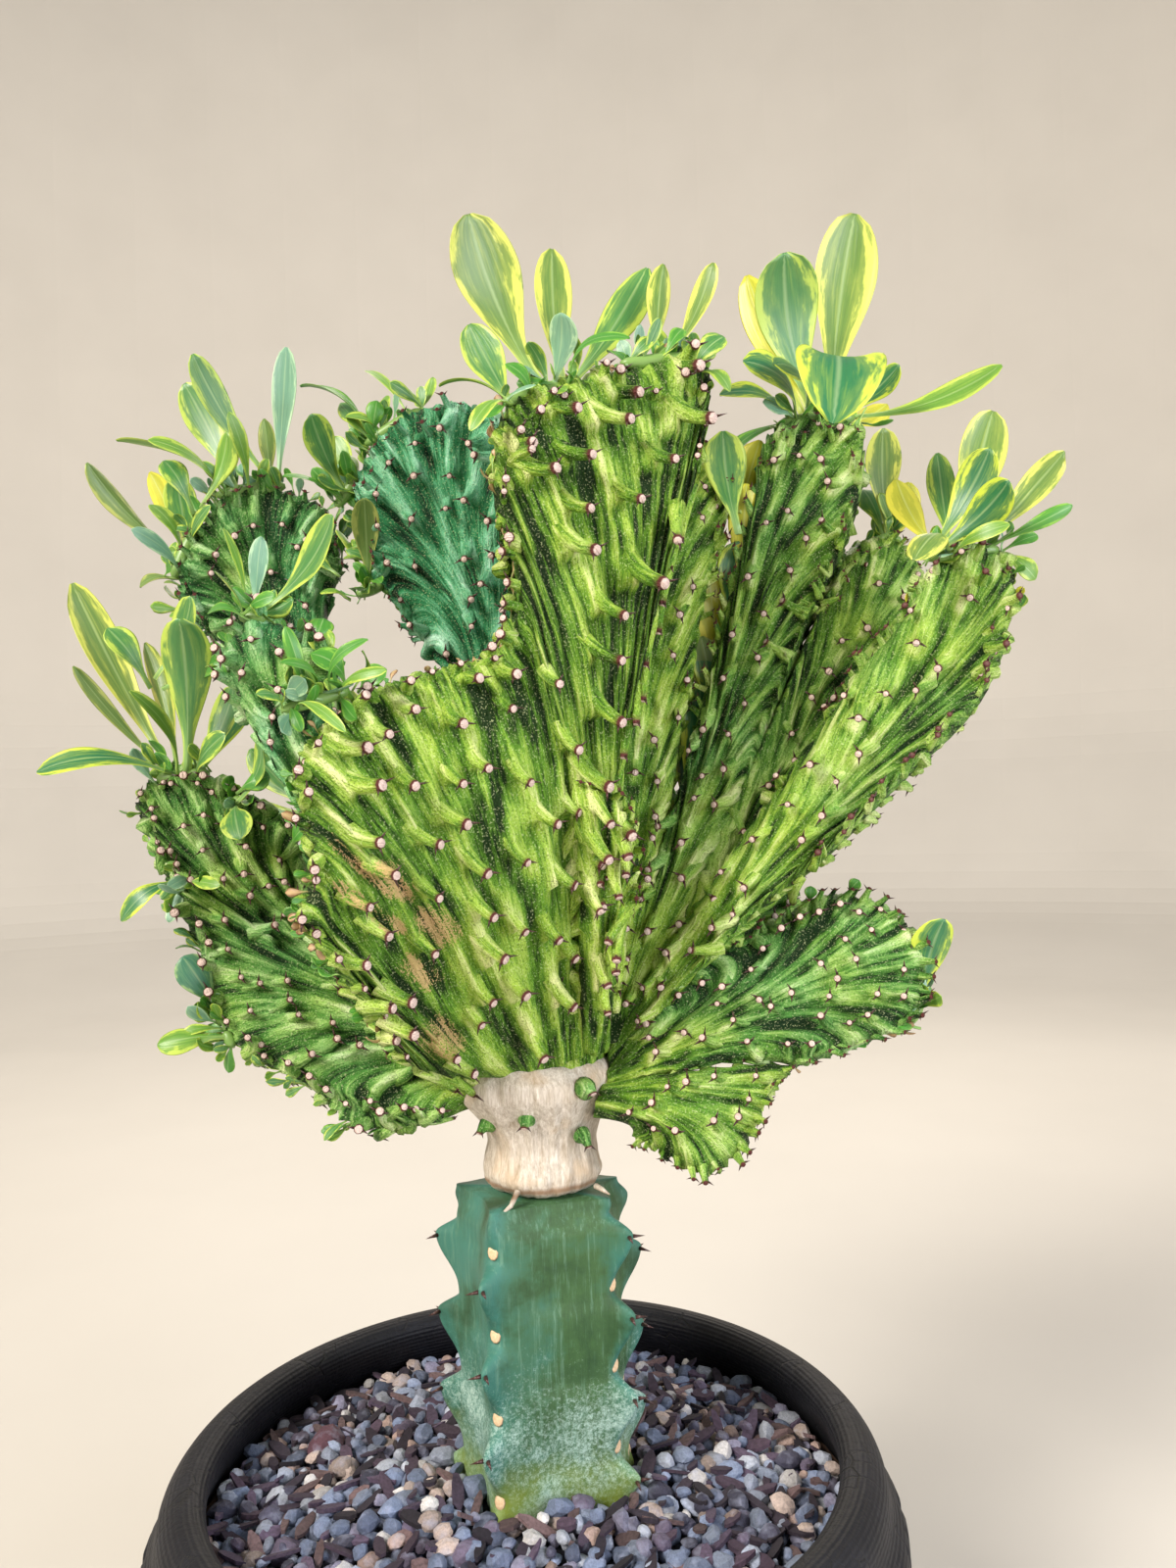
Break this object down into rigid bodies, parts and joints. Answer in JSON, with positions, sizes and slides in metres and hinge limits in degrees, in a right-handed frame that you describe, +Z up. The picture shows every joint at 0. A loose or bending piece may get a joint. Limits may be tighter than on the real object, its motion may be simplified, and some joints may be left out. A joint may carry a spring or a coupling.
{
  "type": "potted crested euphorbia neriifolia",
  "caption": "Crested leafy succulent fan, grafted on a short ribbed stem and standing in a wide round rubber pot topped with gravel.",
  "frame": {"origin": "centre of the flat face under the pot", "axes": "+Z up the plant, -Y towards the plant's best side, +X to the right of that side"},
  "size_m": [0.458, 0.328, 0.759],
  "materials": {
    "black_rubber": "matte",
    "potting_mix": "rough",
    "gravel": "rough",
    "stock_skin": "waxy",
    "cork": "matte",
    "crest_skin": "waxy",
    "leaf": "satin"
  },
  "bodies": {
    "root": {"pot": "black_rubber", "potting_mix": "potting_mix", "gravel": "gravel", "rootstock": "stock_skin", "scion_collar": "cork", "crest": "crest_skin", "back_high_leaves": "leaf", "back_left_crest_leaves": "leaf", "back_left_shoulder_leaves": "leaf", "back_left_side_leaves": "leaf", "back_low_left_leaves": "leaf", "back_low_right_leaves": "leaf", "column_crown_leaves": "leaf", "far_left_low_leaves": "leaf", "far_left_top_leaves": "leaf", "front_edge_curls_leaves": "leaf", "head_left_leaves": "leaf", "head_right_leaves": "leaf", "left_neck_leaves": "leaf", "low_left_back_edge_leaves": "leaf", "low_left_crown_leaves": "leaf", "low_left_side_leaves": "leaf", "low_left_tip_leaves": "leaf", "low_left_waist_leaves": "leaf", "low_right_crown_leaves": "leaf", "right_middle_edge_leaves": "leaf", "right_outer_crown_leaves": "leaf"}
  },
  "joints": []
}
